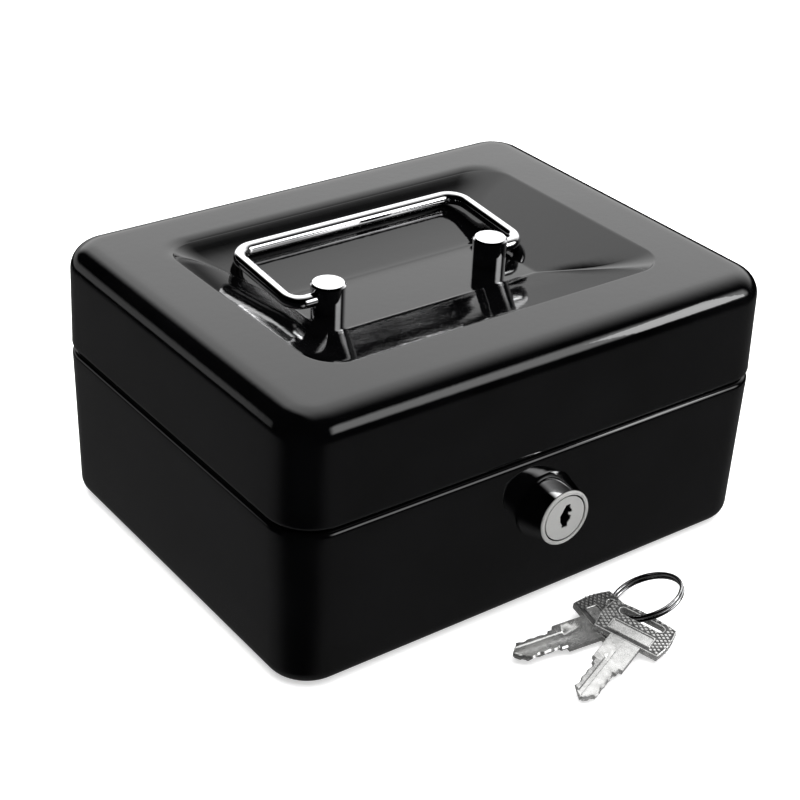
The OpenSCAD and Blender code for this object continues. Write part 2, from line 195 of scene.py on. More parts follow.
def plastic_material():
    """Matt black moulded plastic of the coin tray."""
    g = Graph("black_plastic")
    g.set(IOR=1.49)
    g.tint(g.noise(300, 3), (0.012, 0.012, 0.013), (0.022, 0.022, 0.023))
    g.link(g.ramp(g.noise(900, 3), 0.38, 0.55), g.shader.inputs["Roughness"])
    g.bump([(g.noise(2600, 2), 0.00003)])
    return g.material


# ---------- mesh helpers ----------

def add_object(name, mesh, material, body, nodes=()):
    """Links a mesh, gives it its material and body, and hides the CAD nodes it stands for."""
    obj = bpy.data.objects.new(name, mesh)
    bpy.context.scene.collection.objects.link(obj)
    mesh.materials.append(material)
    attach(obj, body)
    if nodes:
        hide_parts(*nodes)
    return obj


CORNER_STEPS = 14
SIDE_STEPS = 10
QUARTER = CORNER_STEPS + SIDE_STEPS    # points from the start of one corner to the next


def corner_loop(x0, x1, y0, y1, radius, z, corner_steps=CORNER_STEPS, side_steps=SIDE_STEPS):
    """Points round a rounded rectangle from its +X side, always as many and in the same order.

    The radius is one number, or four: back right, back left, front left and front right.
    """
    points = []
    radii = radius if isinstance(radius, tuple) else (radius,) * 4
    corners = ((x1, y1, -1, -1), (x0, y1, 1, -1), (x0, y0, 1, 1), (x1, y0, -1, 1))
    centres = [(x + right * r, y + up * r, 90 * i)
               for i, ((x, y, right, up), r) in enumerate(zip(corners, radii))]
    for index, (cx, cy, start) in enumerate(centres):
        r = radii[index]
        next_r = radii[(index + 1) % 4]
        for step in range(corner_steps + 1):
            a = math.radians(start + 90 * step / corner_steps)
            points.append(Vector((cx + r * math.cos(a), cy + r * math.sin(a), z)))
        nx, ny, turn = centres[(index + 1) % 4]
        a = math.radians(turn)
        end = Vector((nx + next_r * math.cos(a), ny + next_r * math.sin(a), z))
        begin = points[-1].copy()
        for step in range(1, side_steps):
            points.append(begin.lerp(end, step / side_steps))
    return points


def skin_loops(name, loops, capped=True):
    """Mesh through a stack of equal loops, in metres, closed at both ends if capped."""
    bm = bmesh.new()
    rows = [[bm.verts.new(p) for p in loop] for loop in loops]
    count = len(rows[0])
    for a, b in zip(rows, rows[1:]):
        for i in range(count):
            j = (i + 1) % count
            bm.faces.new((a[i], a[j], b[j], b[i]))
    if capped:
        bm.faces.new(list(reversed(rows[0])))
        bm.faces.new(rows[-1])
    bmesh.ops.recalc_face_normals(bm, faces=bm.faces)
    mesh = bpy.data.meshes.new(name)
    bm.to_mesh(mesh)
    bm.free()
    for polygon in mesh.polygons:
        polygon.use_smooth = True
    return mesh


def smooth_step(t):
    """0 below 0, 1 above 1, and a smooth S between."""
    t = max(0.0, min(1.0, t))
    return t * t * (3 - 2 * t)


def arc_points(cx, cz, radius, start, end, steps):
    """(offset, height) points along an arc, angles in degrees."""
    return [(cx + radius * math.cos(math.radians(start + (end - start) * i / steps)),
             cz + radius * math.sin(math.radians(start + (end - start) * i / steps)))
            for i in range(steps + 1)]


# ---------- lid and base ----------

SHEET = 1.0 * MM
CORNER = 12 * MM              # upright corners of the box
LID_EDGE = 7 * MM             # rounded edge round the lid's top
BASE_EDGE = 4.5 * MM          # rounded edge round the base's foot
RIM = 1.6 * MM                # rounded rims at the seam
DRAFT = 0.7 * MM              # how far the walls lean in over their height

# Recess: its rim and its floor as (left, right, front, back)
RECESS = (-55 * MM, 55 * MM, -38.5 * MM, 38.5 * MM)
RECESS_CORNER = 10 * MM
FLOOR = (-34 * MM, 34 * MM, -10 * MM, 13 * MM)
FLOOR_CORNER = 3 * MM
FOLD_CORNER = 0.5 * MM        # the folds below the rim are tighter, but for the back right one
DROP = 9.5 * MM
BACK_SOFT = 2.2 * MM          # reach of the soft rounding at the back rim
RIM_STEP = 0.22 * MM          # fine step that outlines the rim at the left and front
RIM_RUN = 22 * MM             # how far the loops outside the rim spread at the back, per share
FLOOR_RUN = 25 * MM           # the same for the loops on the floor


def wall_loop(half_w, half_d, inset, z):
    """Loop of the box's outline, pulled in by inset."""
    radius = max(CORNER - inset, 0.5 * MM)
    return corner_loop(-half_w + inset, half_w - inset, -half_d + inset, half_d - inset, radius, z)


def back_edge(share):
    """Back edge of the recess at a share of its depth: steep below the rim, gentle by the floor."""
    if share < 0:
        return RECESS[3] - RIM_RUN * share
    if share > 1:
        return FLOOR[3] - FLOOR_RUN * (share - 1)
    return RECESS[3] + (FLOOR[3] - RECESS[3]) * (0.25 * share + 0.75 * share ** 3)


def back_share(y):
    """Depth of the back slope at y, as a share of the drop: the inverse of back_edge."""
    low, high = 0.0, 1.0
    for _ in range(24):
        middle = (low + high) / 2
        if back_edge(middle) > y:
            low = middle
        else:
            high = middle
    return low


def back_softening(share):
    """How far the back slope's rounded rim lies from its sharp profile, as a share of the drop."""
    y = back_edge(share)
    taps = [-1, -0.75, -0.5, -0.25, 0, 0.25, 0.5, 0.75, 1]
    return sum(back_share(y + BACK_SOFT * t) for t in taps) / len(taps) - back_share(y)


def soft_clamp(s, width):
    """0 below 0, 1 above 1, and a straight line between, with both bends rounded over width."""
    def bend(t):
        """0 before 0, t after it, rounded between -width and width."""
        if t <= -width:
            return 0.0
        if t >= width:
            return t
        return (t + width) ** 2 / (4 * width)
    return bend(s) - bend(s - 1)


def recess_loop(share, top):
    """Loop round the recess at a share of its depth; below 0 and above 1 it goes on level.

    The back rim is soft; the rim at the left and front, round to the front right corner, is crisp.
    """
    x0, x1, y0 = (a + (b - a) * share for a, b in zip(RECESS[:3], FLOOR[:3]))
    wide = max(RECESS_CORNER + (FLOOR_CORNER - RECESS_CORNER) * share, 0.8 * MM)
    rise = max(0.0, min(1.0, 1 - share))
    tight = FOLD_CORNER + (RECESS_CORNER - FOLD_CORNER) * rise ** 3
    depth = soft_clamp(share, 0.022)
    softening = back_softening(share)
    rim_step = RIM_STEP * smooth_step(share / 0.014 + 0.5)
    rim_step *= 1 - smooth_step((share - 0.5) / 0.5)
    points = corner_loop(x0, x1, y0, back_edge(share), (wide, tight, tight, tight), 0)
    back_end = QUARTER + CORNER_STEPS
    left_start = QUARTER + 2
    front_end = 3 * QUARTER + CORNER_STEPS + 2
    for index, point in enumerate(points):
        backness = smooth_step(min(index, back_end - index) / CORNER_STEPS)
        crispness = smooth_step((index - left_start) / 10) * smooth_step((front_end - index) / 6)
        point.z = top - DROP * (depth + softening * backness) - rim_step * crispness
    return points


def recess_stations(top):
    """Loops from the lid's top face down into the recess."""
    shares = [-0.16, -0.12, -0.08, -0.05, -0.035, -0.025, -0.015, -0.005, 0.005, 0.015, 0.025, 0.035,
              0.05, 0.08, 0.12, 0.17, 0.23, 0.3, 0.38, 0.46, 0.54, 0.62, 0.7, 0.77, 0.83, 0.88, 0.92,
              0.95, 0.965, 0.98, 0.99, 1.0, 1.01, 1.02, 1.035, 1.05, 1.08, 1.14, 1.22, 1.3]
    return [recess_loop(share, top) for share in shares]


def lid_mesh():
    """Lid in 1 mm sheet: from the recess out over the edge, round the rim and back inside."""
    half_w = (lid_high.x - lid_low.x) / 2
    half_d = (lid_high.y - lid_low.y) / 2
    bottom, top = lid_low.z, lid_high.z
    height = top - bottom

    def lean(z):
        """How far the wall leans in at a height."""
        return DRAFT * (z - bottom) / height

    loops = list(reversed(recess_stations(top)))
    for inset in (14, 11, 9):
        loops.append(wall_loop(half_w, half_d, inset * MM, top))
    for offset, z in arc_points(0, 0, LID_EDGE, 90, 0, 12):
        loops.append(wall_loop(half_w, half_d, LID_EDGE - offset + lean(top - LID_EDGE),
                               top - LID_EDGE + z))
    for z in (16, 10, 5, 2.6):
        loops.append(wall_loop(half_w, half_d, lean(bottom + z * MM), bottom + z * MM))
    for offset, z in arc_points(0, 0, RIM, 0, -90, 8):
        loops.append(wall_loop(half_w, half_d, RIM - offset, bottom + RIM + z))
    for inset, z in ((2.0, 0.1), (2.2, 0.4), (2.2, 2.6), (2.0, 2.95), (1.4, 3.0), (1.05, 3.3)):
        loops.append(wall_loop(half_w, half_d, inset * MM, bottom + z * MM))
    inner = LID_EDGE - SHEET
    for z in (8, 16):
        loops.append(wall_loop(half_w, half_d, SHEET + lean(bottom + z * MM), bottom + z * MM))
    for offset, z in arc_points(0, 0, inner, 0, 90, 8):
        loops.append(wall_loop(half_w, half_d, SHEET + inner - offset + lean(top - LID_EDGE),
                               top - LID_EDGE + z))
    loops.append(wall_loop(half_w, half_d, 12 * MM, top - SHEET))
    loops += recess_stations(top - SHEET)
    return skin_loops("lid_sheet", loops)


def base_mesh():
    """Base in 1 mm sheet: from the underside up the wall, over the rolled rim and back inside."""
    half_w = (base_high.x - base_low.x) / 2
    half_d = (base_high.y - base_low.y) / 2
    bottom, top = base_low.z, base_high.z
    height = top - bottom

    def lean(z):
        """How far the wall leans in at a height."""
        return DRAFT * (top - z) / height

    foot = lean(bottom + BASE_EDGE)
    loops = [wall_loop(half_w, half_d, inset * MM, bottom) for inset in (40, 20, 9)]
    for offset, z in arc_points(0, 0, BASE_EDGE, -90, 0, 10):
        loops.append(wall_loop(half_w, half_d, foot + BASE_EDGE - offset, bottom + BASE_EDGE + z))
    for z in (14, 26, 36, 41):
        loops.append(wall_loop(half_w, half_d, lean(bottom + z * MM), bottom + z * MM))
    for offset, z in arc_points(0, 0, RIM, 0, 90, 8):
        loops.append(wall_loop(half_w, half_d, RIM - offset, top - RIM + z))
    for inset, drop in ((4.6, 0), (5.2, 0.1), (5.5, 0.45), (5.5, 2.9), (5.2, 3.2), (4.8, 3.2),
                        (4.5, 2.9), (4.5, 1.4), (4.1, 1.0), (1.7, 1.0), (1.2, 1.4)):
        loops.append(wall_loop(half_w, half_d, inset * MM, top - drop * MM))
    for z in (36, 20, 10):
        loops.append(wall_loop(half_w, half_d, SHEET + lean(bottom + z * MM), bottom + z * MM))
    inner = BASE_EDGE - SHEET
    for offset, z in arc_points(0, 0, inner, 0, -90, 8):
        loops.append(wall_loop(half_w, half_d, foot + SHEET + inner - offset, bottom + BASE_EDGE + z))
    for inset in (12, 24, 40):
        loops.append(wall_loop(half_w, half_d, inset * MM, bottom + SHEET))
    return skin_loops("base_sheet", loops)


# ---------- turned, swept and pressed pieces ----------

def lathe(name, profile):
    """Ring turned about Z from a closed profile of (radius, height) points in mm."""
    steps = 96
    bm = bmesh.new()
    rows = []
    for radius, z in profile:
        rows.append([bm.verts.new((radius * math.cos(2 * math.pi * i / steps) * MM,
                                   radius * math.sin(2 * math.pi * i / steps) * MM, z * MM))
                     for i in range(steps)])
    for a, b in zip(rows, rows[1:] + rows[:1]):
        for i in range(steps):
            j = (i + 1) % steps
            bm.faces.new((a[i], a[j], b[j], b[i]))
    bmesh.ops.recalc_face_normals(bm, faces=bm.faces)
    mesh = bpy.data.meshes.new(name)
    bm.to_mesh(mesh)
    bm.free()
    shade_smooth(mesh, 35)
    return mesh


def shade_smooth(mesh, angle):
    """Smooth shading, with edges sharper than angle left sharp."""
    for polygon in mesh.polygons:
        polygon.use_smooth = True
    mesh.set_sharp_from_angle(angle=math.radians(angle))


def tube(name, points, radius, sides):
    """Round wire along points (metres), with rounded ends."""
    last = len(points) - 1
    tangents = [(points[min(i + 1, last)] - points[max(i - 1, 0)]).normalized()
                for i in range(last + 1)]
    side = tangents[0].orthogonal().normalized()
    loops = []
    for i, (point, tangent) in enumerate(zip(points, tangents)):
        side = (side - tangent * side.dot(tangent)).normalized()
        up = tangent.cross(side)
        rings = [(0.0, 1.0)]
        if i == 0:
            rings = [(0.0, 0.62), (0.28, 0.9), (0.55, 1.0)]
        if i == last:
            rings = [(-0.55, 1.0), (-0.28, 0.9), (0.0, 0.62)]
        for along, share in rings:
            centre = point + tangent * along * radius
            loops.append([centre + radius * share * (side * math.cos(2 * math.pi * k / sides)
                                                     + up * math.sin(2 * math.pi * k / sides))
                          for k in range(sides)])
    return skin_loops(name, loops)


def join_meshes(name, meshes):
    """One mesh from several."""
    bm = bmesh.new()
    for mesh in meshes:
        bm.from_mesh(mesh)
    joined = bpy.data.meshes.new(name)
    bm.to_mesh(joined)
    bm.free()
    joined.set_sharp_from_angle(angle=math.radians(35))
    return joined


def plate(name, outline, holes, thickness, edge):
    """Flat plate about z = 0 from outlines in mm, with rounded edges."""
    curve = bpy.data.curves.new(name, "CURVE")
    curve.dimensions = "2D"
    curve.fill_mode = "BOTH"
    curve.extrude = (thickness / 2 - edge) * MM
    curve.bevel_depth = edge * MM
    curve.bevel_resolution = 1
    curve.offset = -edge * MM
    for points in [outline] + holes:
        spline = curve.splines.new("POLY")
        spline.points.add(len(points) - 1)
        for point, (x, y) in zip(spline.points, points):
            point.co = (x * MM, y * MM, 0, 1)
        spline.use_cyclic_u = True
    obj = bpy.data.objects.new(name, curve)
    bpy.context.scene.collection.objects.link(obj)
    graph = bpy.context.evaluated_depsgraph_get()
    mesh = bpy.data.meshes.new_from_object(obj.evaluated_get(graph))
    bpy.data.objects.remove(obj)
    bpy.data.curves.remove(curve)
    shade_smooth(mesh, 32)
    return mesh


# ---------- lock ----------

LOCK_SPOT = Vector((0, base_low.y, 30 * MM))
FACE = 7.7                    # how far the bezel's face stands out of the wall, in mm
THREAD_PITCH = 0.8
THREAD_TURNS = 12


def place_lock(mesh):
    """Turns a mesh made about Z so that its +Z points out of the front wall at the lock."""
    mesh.transform(Matrix.Translation(LOCK_SPOT) @ Matrix.Rotation(math.radians(90), 4, "X"))
    return mesh


def lock_body_mesh():
    """Bezel cone, bored for the plug, and the threaded barrel behind the wall."""
    profile = [(6.27, FACE - 2.5), (6.55, FACE - 1.2), (7.0, FACE - 0.6), (7.58, FACE - 0.6),
               (9.24, 0.75), (9.36, 0.35), (9.4, 0.02), (8, 0), (8, -1.9)]
    for turn in range(THREAD_TURNS):
        z = -2.1 - turn * THREAD_PITCH
        profile += [(8, z), (7.62, z - 0.3), (7.62, z - 0.42), (8, z - 0.72)]
    profile += [(7.6, -12.2), (7.1, -12.5), (6.27, -12.5)]
    return place_lock(lathe("lock_bezel", profile))


def lock_lip_mesh():
    """Satin lip round the plug, with a fine step on its face and a rounded outer edge."""
    profile = [(6.62, FACE - 1.2), (6.62, FACE - 0.1), (6.68, FACE - 0.02), (6.82, FACE),
               (6.9, FACE - 0.07), (7.08, FACE - 0.07), (7.16, FACE), (7.4, FACE - 0.03),
               (7.56, FACE - 0.16), (7.64, FACE - 0.4), (7.64, FACE - 0.7), (7.3, FACE - 0.75),
               (7.0, FACE - 1.2)]
    return place_lock(lathe("lock_lip", profile))


# ---------- bail ----------

BAIL_PIVOT = Vector((0, 1.7, 69.8)) * MM
BAIL_TILT = 4.9               # how far the handle lies above level at rest, in degrees
BAIL_ARM = 37.3               # half the width between the middles of the arms
BAIL_REACH = 29.8             # from the pivots to the middle of the grip
BAIL_START = 28.8             # where the wire starts inside a post
BAIL_WIRE = 1.85
LEG_BEND = 4                  # bend from a post's bore into the arm
GRIP_BEND = 5.5               # bend from the arm into the grip


def bail_mesh():
    """Handle wire from one post round to the other, in one smooth sweep."""
    half = [(BAIL_START, 0.0), (BAIL_START + 1.5, 0.0)]
    half += arc_points(BAIL_ARM - LEG_BEND, LEG_BEND, LEG_BEND, -90, 0, 16)
    half += [(BAIL_ARM, 10.0), (BAIL_ARM, 17.0)]
    half += arc_points(BAIL_ARM - GRIP_BEND, BAIL_REACH - GRIP_BEND, GRIP_BEND, 0, 90, 20)
    half += [(20.0, BAIL_REACH), (8.0, BAIL_REACH)]
    path = half + [(-x, y) for x, y in reversed(half)]
    mesh = tube("bail", [Vector((x, y, 0)) * MM for x, y in path], BAIL_WIRE * MM, 40)
    mesh.transform(Matrix.Translation(BAIL_PIVOT) @ Matrix.Rotation(math.radians(BAIL_TILT), 4, "X"))
    return mesh


# ---------- keys ----------

# A key in mm about the middle of its slot, with the blade along +X
KEY_T = 1.9                   # thickness over the knurl
BOW_T = 1.8
NECK_T = 1.5
EDGE_X = -3.0                 # outer edge of the bow
NECK_X = 9.5                  # where the bow ends
BLADE_X = 19.3                # where the cut blade begins
TIP_X = 33.5
BOW_HALF = 9.65
BOW_MIDDLE = 3.2              # about the middle of the bow's length
BULGE = 0.65                  # bulge of the bow's short sides
EDGE_BULGE = 0.9              # bulge of its outer edge
SLOT_HALF = 6.25
SLOT_R = 1.2
PANEL = (4.0, 8.2, -6.1, 6.1)
KNURL_PITCH = (0.66, 0.82)    # half the distance between pyramids along X and Y
KNURL_REACH = (0.63, 0.78)    # half the size of a pyramid
KNURL_MARGIN = 0.42           # how far pyramids keep clear of edges and openings
BED_LIFT = 0.03               # how far the knurl's ground stands above the plain bow
NECK_HALF = 4.3
BLADE_HALF = 2.9
SHOULDER_HALF = 3.45
TIP_RUN = 2.4                 # length of the pointed tip

# Where each key and the ring lie: place in mm, and turns about X, Y and Z in degrees
FRONT_KEY = ((13.04, -84.4, 2.74), (-7.82, 3.53, 202.07))
REAR_KEY = ((11.51, -79.19, 1.47), (-8.57, -0.46, 174.74))
RING = ((20.34, -78.49, 4.95), (0, 23.5, 132.24))
RING_RADIUS = 9.4
RING_WIRE = 0.5


def bow_outline():
    """Barrel-shaped bow: every side bulges a little between four firm corners."""
    corner = BOW_HALF - BULGE
    start = EDGE_X + EDGE_BULGE
    points = [(EDGE_X + EDGE_BULGE * (i / 8 - 1) ** 2, (i / 8 - 1) * corner) for i in range(17)]
    end = []
    for i in range(1, 12):
        x = start + (NECK_X - 0.3 - start) * i / 12
        end.append((x, corner + BULGE * math.sin(math.pi * i / 12)))
    end += [(NECK_X - 0.1, corner - 0.05), (NECK_X, corner - 0.25), (NECK_X, NECK_HALF)]
    return points + end + [(x, -y) for x, y in reversed(end)]


def slot_outline():
    """Long ring slot across the bow, next to its outer edge."""
    points = []
    for side, start in ((1, 0), (-1, 180)):
        for i in range(9):
            a = math.radians(start + 180 * i / 8)
            points.append((SLOT_R * math.cos(a), side * (SLOT_HALF - SLOT_R) + SLOT_R * math.sin(a)))
    return points


def in_bow(x, y, margin):
    """Whether a knurl point lies on the plain part of the bow, clear of its edges and openings."""
    if not EDGE_X + margin + EDGE_BULGE * (y / BOW_HALF) ** 2 < x < NECK_X - margin:
        return False
    bulge = 0.5 * math.sin(math.pi * (x - EDGE_X) / (NECK_X - EDGE_X))
    if abs(y) > BOW_HALF - BULGE - margin + bulge:
        return False
    if abs(x) < SLOT_R + margin and abs(y) < SLOT_HALF + margin:
        return False
    x0, x1, y0, y1 = PANEL
    return not (x0 - margin < x < x1 + margin and y0 - margin < y < y1 + margin)


def add_pyramid(bm, x, y, face):
    """One blunt four-sided pyramid of the knurl, on the upper (1) or lower (-1) face."""
    rings = []
    for share, height in ((1.0, -0.1), (0.72, 0.14), (0.56, 0.2)):
        z = face * (BOW_T / 2 + height)
        rings.append([bm.verts.new(((x + dx * KNURL_REACH[0] * share) * MM,
                                    (y + dy * KNURL_REACH[1] * share) * MM, z * MM))
                      for dx, dy in ((1, 0), (0, 1), (-1, 0), (0, -1))])
    for low, high in zip(rings, rings[1:]):
        for i in range(4):
            j = (i + 1) % 4
            bm.faces.new((low[i], low[j], high[j], high[i]))
    bm.faces.new(rings[2])
    bm.faces.new(list(reversed(rings[0])))


def knurl_mesh():
    """Diamond knurl on both faces of the bow: small blunt pyramids in crossed rows."""
    bm = bmesh.new()
    rows = range(-30, 31)
    for row in rows:
        for column in rows:
            x = (row + column) * KNURL_PITCH[0] + BOW_MIDDLE
            y = (row - column) * KNURL_PITCH[1]
            if in_bow(x, y, KNURL_MARGIN):
                add_pyramid(bm, x, y, 1)
                add_pyramid(bm, x, y, -1)
    bmesh.ops.recalc_face_normals(bm, faces=bm.faces)
    mesh = bpy.data.meshes.new("knurl")
    bm.to_mesh(mesh)
    bm.free()
    return mesh


def bed_mesh(name, place, turn):
    """Near black ground of the knurl on both faces of the bow, seen between its pyramids: a sheet of
    painted shade.
    """
    shrink_x, shrink_y = 0.95, 0.965
    widen_x, widen_y = 1.25, 1.05
    inner = [(BOW_MIDDLE + (x - BOW_MIDDLE) * shrink_x, y * shrink_y) for x, y in bow_outline()]
    slot = [(x * widen_x, y * widen_y) for x, y in slot_outline()]
    x0, x1, y0, y1 = PANEL
    panel = [(x0, y0), (x1, y0), (x1, y1), (x0, y1)]
    mesh = plate(name, inner, [slot, panel], BOW_T + 2 * BED_LIFT, 0.02)
    lay_key(mesh, place, turn)
    return mesh


def panel_frame_mesh(face):
    """Raised border of the plain label panel on one face of the bow."""
    x0, x1, y0, y1 = (value * MM for value in PANEL)
    profile = ((-0.1, -0.05), (0.0, 0.2), (0.12, 0.3), (0.36, 0.3), (0.5, 0.16), (0.55, -0.05))
    loops = []
    for inset, height in profile:
        d = inset * MM
        z = face * (BOW_T / 2 + height) * MM
        loops.append(corner_loop(x0 + d, x1 - d, y0 + d, y1 - d, 0.45 * MM, z,
                                 corner_steps=4, side_steps=2))
    loops.append(loops[0])
    return skin_loops("panel_frame", loops, capped=False)


def blade_half_width(x, side):
    """Half width of the cut blade at x: rounded cuts on both edges and a pointed tip."""
    if x < BLADE_X:
        return NECK_HALF
    phase = 0.0 if side > 0 else 1.3
    cuts = 0.15 * math.cos(2 * math.pi * (x - BLADE_X - phase) / 3.4)
    cuts += 0.1 * math.cos(2 * math.pi * (x - BLADE_X) / 5.7 + side)
    width = BLADE_HALF + cuts
    if x < BLADE_X + 2:
        width = SHOULDER_HALF
    tip = TIP_X - x
    if tip < TIP_RUN:
        width = min(width, 0.45 + 2.3 * (max(tip, 0) / TIP_RUN) ** 0.9)
    return width


def blade_mesh():
    """Neck and blade: milled grooves along both faces, cuts along both edges."""
    step = 0.22
    stations = [NECK_X - 0.6, NECK_X + 0.4, 12, 14.5, 17.2, BLADE_X - 0.9, BLADE_X - 0.12,
                BLADE_X - 0.02, BLADE_X + 0.06, BLADE_X + 0.2]
    x = BLADE_X + 0.5
    while x < TIP_X:
        stations.append(x)
        x += step
    stations += [TIP_X - 0.05, TIP_X]
    half = NECK_T / 2
    loops = []
    for x in stations:
        upper = blade_half_width(x, 1)
        lower = blade_half_width(x, -1)
        groove = 0.34 * smooth_step((x - BLADE_X + 3.4) / 1.2)
        slope = 0.4 if x > BLADE_X else 0.15
        thin = half - (0.04 if x > BLADE_X else 0.0)
        ends = 1 - 0.7 * smooth_step((x - TIP_X + 1.1) / 1.1)
        near, far = 0.35 * ends, 1.35 * ends
        section = [(-lower, 0.35 * thin), (-lower + slope * ends, thin), (-far - 0.25 * ends, half),
                   (-far, half - groove), (-near, half - groove), (-near + 0.2 * ends, half),
                   (0.8 * ends, half), (1.5 * ends, half - 0.3 * groove), (upper - slope * ends, thin),
                   (upper, 0.35 * thin)]
        under = [(-y, -z) for y, z in section]
        under = [(max(-lower, min(upper, y)), z) for y, z in under]
        loops.append([Vector((x * MM, y * MM, z * MM)) for y, z in section + under])
    mesh = skin_loops("blade", loops)
    shade_smooth(mesh, 30)
    return mesh


def key_mesh(name, place, turn):
    """Whole key, laid where its CAD solid lies."""
    parts = [plate("bow", bow_outline(), [slot_outline()], BOW_T, 0.22), blade_mesh(), knurl_mesh(),
             panel_frame_mesh(1), panel_frame_mesh(-1)]
    mesh = join_meshes(name, parts)
    for part in parts:
        bpy.data.meshes.remove(part)
    lay_key(mesh, place, turn)
    return mesh


def turned(place, turn):
    """Matrix that turns about X, Y and Z in degrees and then moves to place in mm."""
    x, y, z = (math.radians(a) for a in turn)
    rotation = Matrix.Rotation(z, 4, "Z") @ Matrix.Rotation(y, 4, "Y") @ Matrix.Rotation(x, 4, "X")
    return Matrix.Translation(Vector(place) * MM) @ rotation


def lay_key(mesh, place, turn):
    """Moves a mesh made about the key's middle to where the key's CAD solid lies."""
    mesh.transform(turned(place, turn) @ Matrix.Translation((0, 0, KEY_T / 2 * MM)))


def ring_mesh():
    """Split ring: two turns of wire side by side, crossing over in one short bend."""
    points = []
    steps = 150
    pitch = 2.12 * RING_WIRE
    for i in range(steps + 1):
        turn = 2 * i / steps
        crossed = smooth_step((turn - 0.94) / 0.12)
        a = 2 * math.pi * turn + 0.35
        z = (crossed - 0.5) * pitch
        points.append(Vector((RING_RADIUS * math.cos(a), RING_RADIUS * math.sin(a), z)) * MM)
    mesh = tube("split_ring", points, RING_WIRE * MM, 12)
    mesh.transform(turned(*RING))
    return mesh


# ---------- edges of the carried-over pieces ----------

def round_edges(name, width, segments=2, angle=40):
    """Rounds the sharp edges of a carried-over CAD node with a modifier."""
    node = frame["nodes"][name]
    bevel = node.modifiers.new("edges", "BEVEL")
    bevel.width = width * MM
    bevel.segments = segments
    bevel.limit_method = "ANGLE"
    bevel.angle_limit = math.radians(angle)
    bevel.harden_normals = False


# ---------- stage ----------

def add_floor():
    """White lit table that mirrors leave out, so that they see the dim studio round it instead."""
    size = 30.0
    z = -0.2 * MM
    mesh = bpy.data.meshes.new("floor")
    mesh.from_pydata([(-size, -size, z), (size, -size, z), (size, size, z), (-size, size, z)],
                     [], [(0, 1, 2, 3)])
    floor = bpy.data.objects.new("floor", mesh)
    bpy.context.scene.collection.objects.link(floor)
    g = Graph("white_floor")
    g.set(Roughness=0.9, Specular_IOR_Level=0.0, Emission_Color=(1, 1, 1, 1), Emission_Strength=0.55)
    g.tint(g.noise(3, 2), (0.90, 0.90, 0.90), (0.93, 0.93, 0.93))
    mesh.materials.append(g.material)
    floor.visible_glossy = False


class Sky:
    """Builds the studio's brightness as sums and products of soft steps along the view's axes."""

    def __init__(self, tree):
        self.tree = tree
        place = tree.nodes.new("ShaderNodeTexCoord")
        split = tree.nodes.new("ShaderNodeSeparateXYZ")
        tree.links.new(place.outputs["Generated"], split.inputs[0])
        self.x, self.y, self.z = split.outputs

    def math(self, kind, *values):
        node = self.tree.nodes.new("ShaderNodeMath")
        node.operation = kind
        for socket, value in zip(node.inputs, values):
            if isinstance(value, (int, float)):
                socket.default_value = value
            else:
                self.tree.links.new(value, socket)
        return node.outputs[0]

    def step(self, source, start, end, high=1.0):
        """0 up to start, high from end on, smooth between; start may be the larger one."""
        node = self.tree.nodes.new("ShaderNodeMapRange")
        node.interpolation_type = "SMOOTHSTEP"
        node.inputs["From Min"].default_value = min(start, end)
        node.inputs["From Max"].default_value = max(start, end)
        node.inputs["To Min"].default_value = 0.0 if start < end else high
        node.inputs["To Max"].default_value = high if start < end else 0.0
        self.tree.links.new(source, node.inputs["Value"])
        return node.outputs["Result"]

    def product(self, first, *rest):
        for value in rest:
            first = self.math("MULTIPLY", first, value)
        return first

    def total(self, first, *rest):
        for value in rest:
            first = self.math("ADD", first, value)
        return first

    def towards(self, x, y, z):
        """Cosine between the view and a direction."""
        length = math.sqrt(x * x + y * y + z * z)
        return self.total(self.math("MULTIPLY", self.x, x / length),
                          self.math("MULTIPLY", self.y, y / length),
                          self.math("MULTIPLY", self.z, z / length))


def add_world():
    """Studio seen in the gloss, lit from a few directions; to the camera it is plain white."""
    world = bpy.data.worlds.new("studio")
    bpy.context.scene.world = world
    world.use_nodes = True
    tree = world.node_tree
    sky = Sky(tree)
    # a big light behind, above and to the right
    main = sky.product(sky.step(sky.x, -0.25, 0.08, 1.68), sky.step(sky.y, -0.4, 0.45),
                       sky.step(sky.z, 0.06, 0.26))
    # a fainter glow along the horizon behind
    horizon = sky.product(sky.step(sky.x, 0.72, 0.6, 0.5), sky.step(sky.y, 0.6, 0.75),
                          sky.step(sky.z, -0.17, -0.08), sky.step(sky.z, 0.24, 0.08))
    # a low strip at the front right
    strip = sky.product(sky.step(sky.x, 0.15, 0.4, 2.9), sky.step(sky.y, -0.42, -0.62),
                        sky.step(sky.z, 0.62, 0.46), sky.step(sky.z, 0.08, 0.26))
    # a faint ground everywhere but at the front left
    ground = sky.product(sky.step(sky.z, -0.2, -0.42, 0.1),
                         sky.step(sky.towards(0.8, 0.6, 0.0), -0.8, -0.3))
    light = sky.total(main, horizon, strip, ground)
    seen = tree.nodes.new("ShaderNodeLightPath").outputs["Is Camera Ray"]
    shown = sky.math("ADD", sky.product(light, sky.math("SUBTRACT", 1.0, seen)), seen)
    background = tree.nodes["Background"]
    background.inputs["Color"].default_value = (1, 1, 1, 1)
    tree.links.new(shown, background.inputs["Strength"])


def add_panel(name, place, aim, size, power, mirrored=False):
    """Square softbox at place, facing aim, seen in mirrors only if mirrored."""
    data = bpy.data.lights.new(name, "AREA")
    data.shape = "SQUARE"
    data.size = size
    data.energy = power
    light = bpy.data.objects.new(name, data)
    light.location = place
    light.rotation_euler = (Vector(place) - Vector(aim)).to_track_quat("Z", "Y").to_euler()
    light.visible_camera = False
    light.visible_glossy = mirrored
    bpy.context.scene.collection.objects.link(light)


add_camera()

